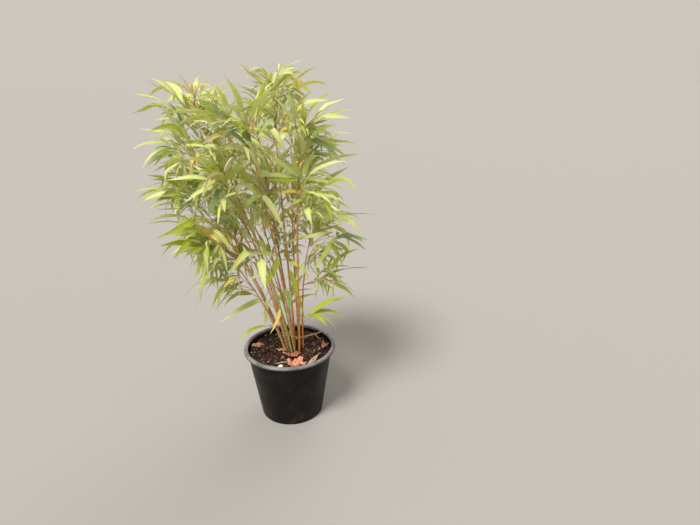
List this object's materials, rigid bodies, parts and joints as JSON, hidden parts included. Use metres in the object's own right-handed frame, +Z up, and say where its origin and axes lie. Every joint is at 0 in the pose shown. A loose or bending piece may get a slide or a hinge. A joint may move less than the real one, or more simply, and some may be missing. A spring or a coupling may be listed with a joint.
{
  "type": "potted bamboo",
  "caption": "Young clumping bamboo in a round black nursery pot: jointed canes fan out of dark compost and lean to one side, with airy tufts of narrow leaves along their tops.",
  "frame": {"origin": "centre of the pot's flat underside, on the surface that it stands on", "axes": "+Z up along the pot's axis; the clump leans towards -X, and -Y faces the viewer of the picture"},
  "size_m": [0.5298, 0.5099, 0.844],
  "materials": {
    "pot_plastic": "black, satin",
    "compost": "dark, crumbly, matt",
    "cane_skin": "smooth, low sheen",
    "leaves": "soft, slightly waxy"
  },
  "bodies": {
    "root": {"pot": "pot_plastic", "compost": "compost", "cane_01": "cane_skin", "cane_02": "cane_skin", "cane_03": "cane_skin", "cane_04": "cane_skin", "cane_05": "cane_skin", "cane_06": "cane_skin", "cane_07": "cane_skin", "cane_08": "cane_skin", "cane_09": "cane_skin", "cane_10": "cane_skin", "cane_11": "cane_skin", "cane_12": "cane_skin", "cane_13": "cane_skin", "cane_14": "cane_skin", "cane_15": "cane_skin", "cane_16": "cane_skin", "foliage_01": "leaves", "foliage_02": "leaves", "foliage_03": "leaves", "foliage_04": "leaves", "foliage_05": "leaves", "foliage_06": "leaves", "foliage_07": "leaves", "foliage_08": "leaves", "foliage_09": "leaves", "foliage_10": "leaves", "foliage_11": "leaves", "foliage_12": "leaves", "foliage_13": "leaves", "foliage_14": "leaves", "foliage_15": "leaves", "foliage_16": "leaves", "low_spray_left": "leaves", "low_spray_front": "leaves", "low_spray_right": "leaves", "low_spray_back": "leaves"}
  },
  "joints": []
}
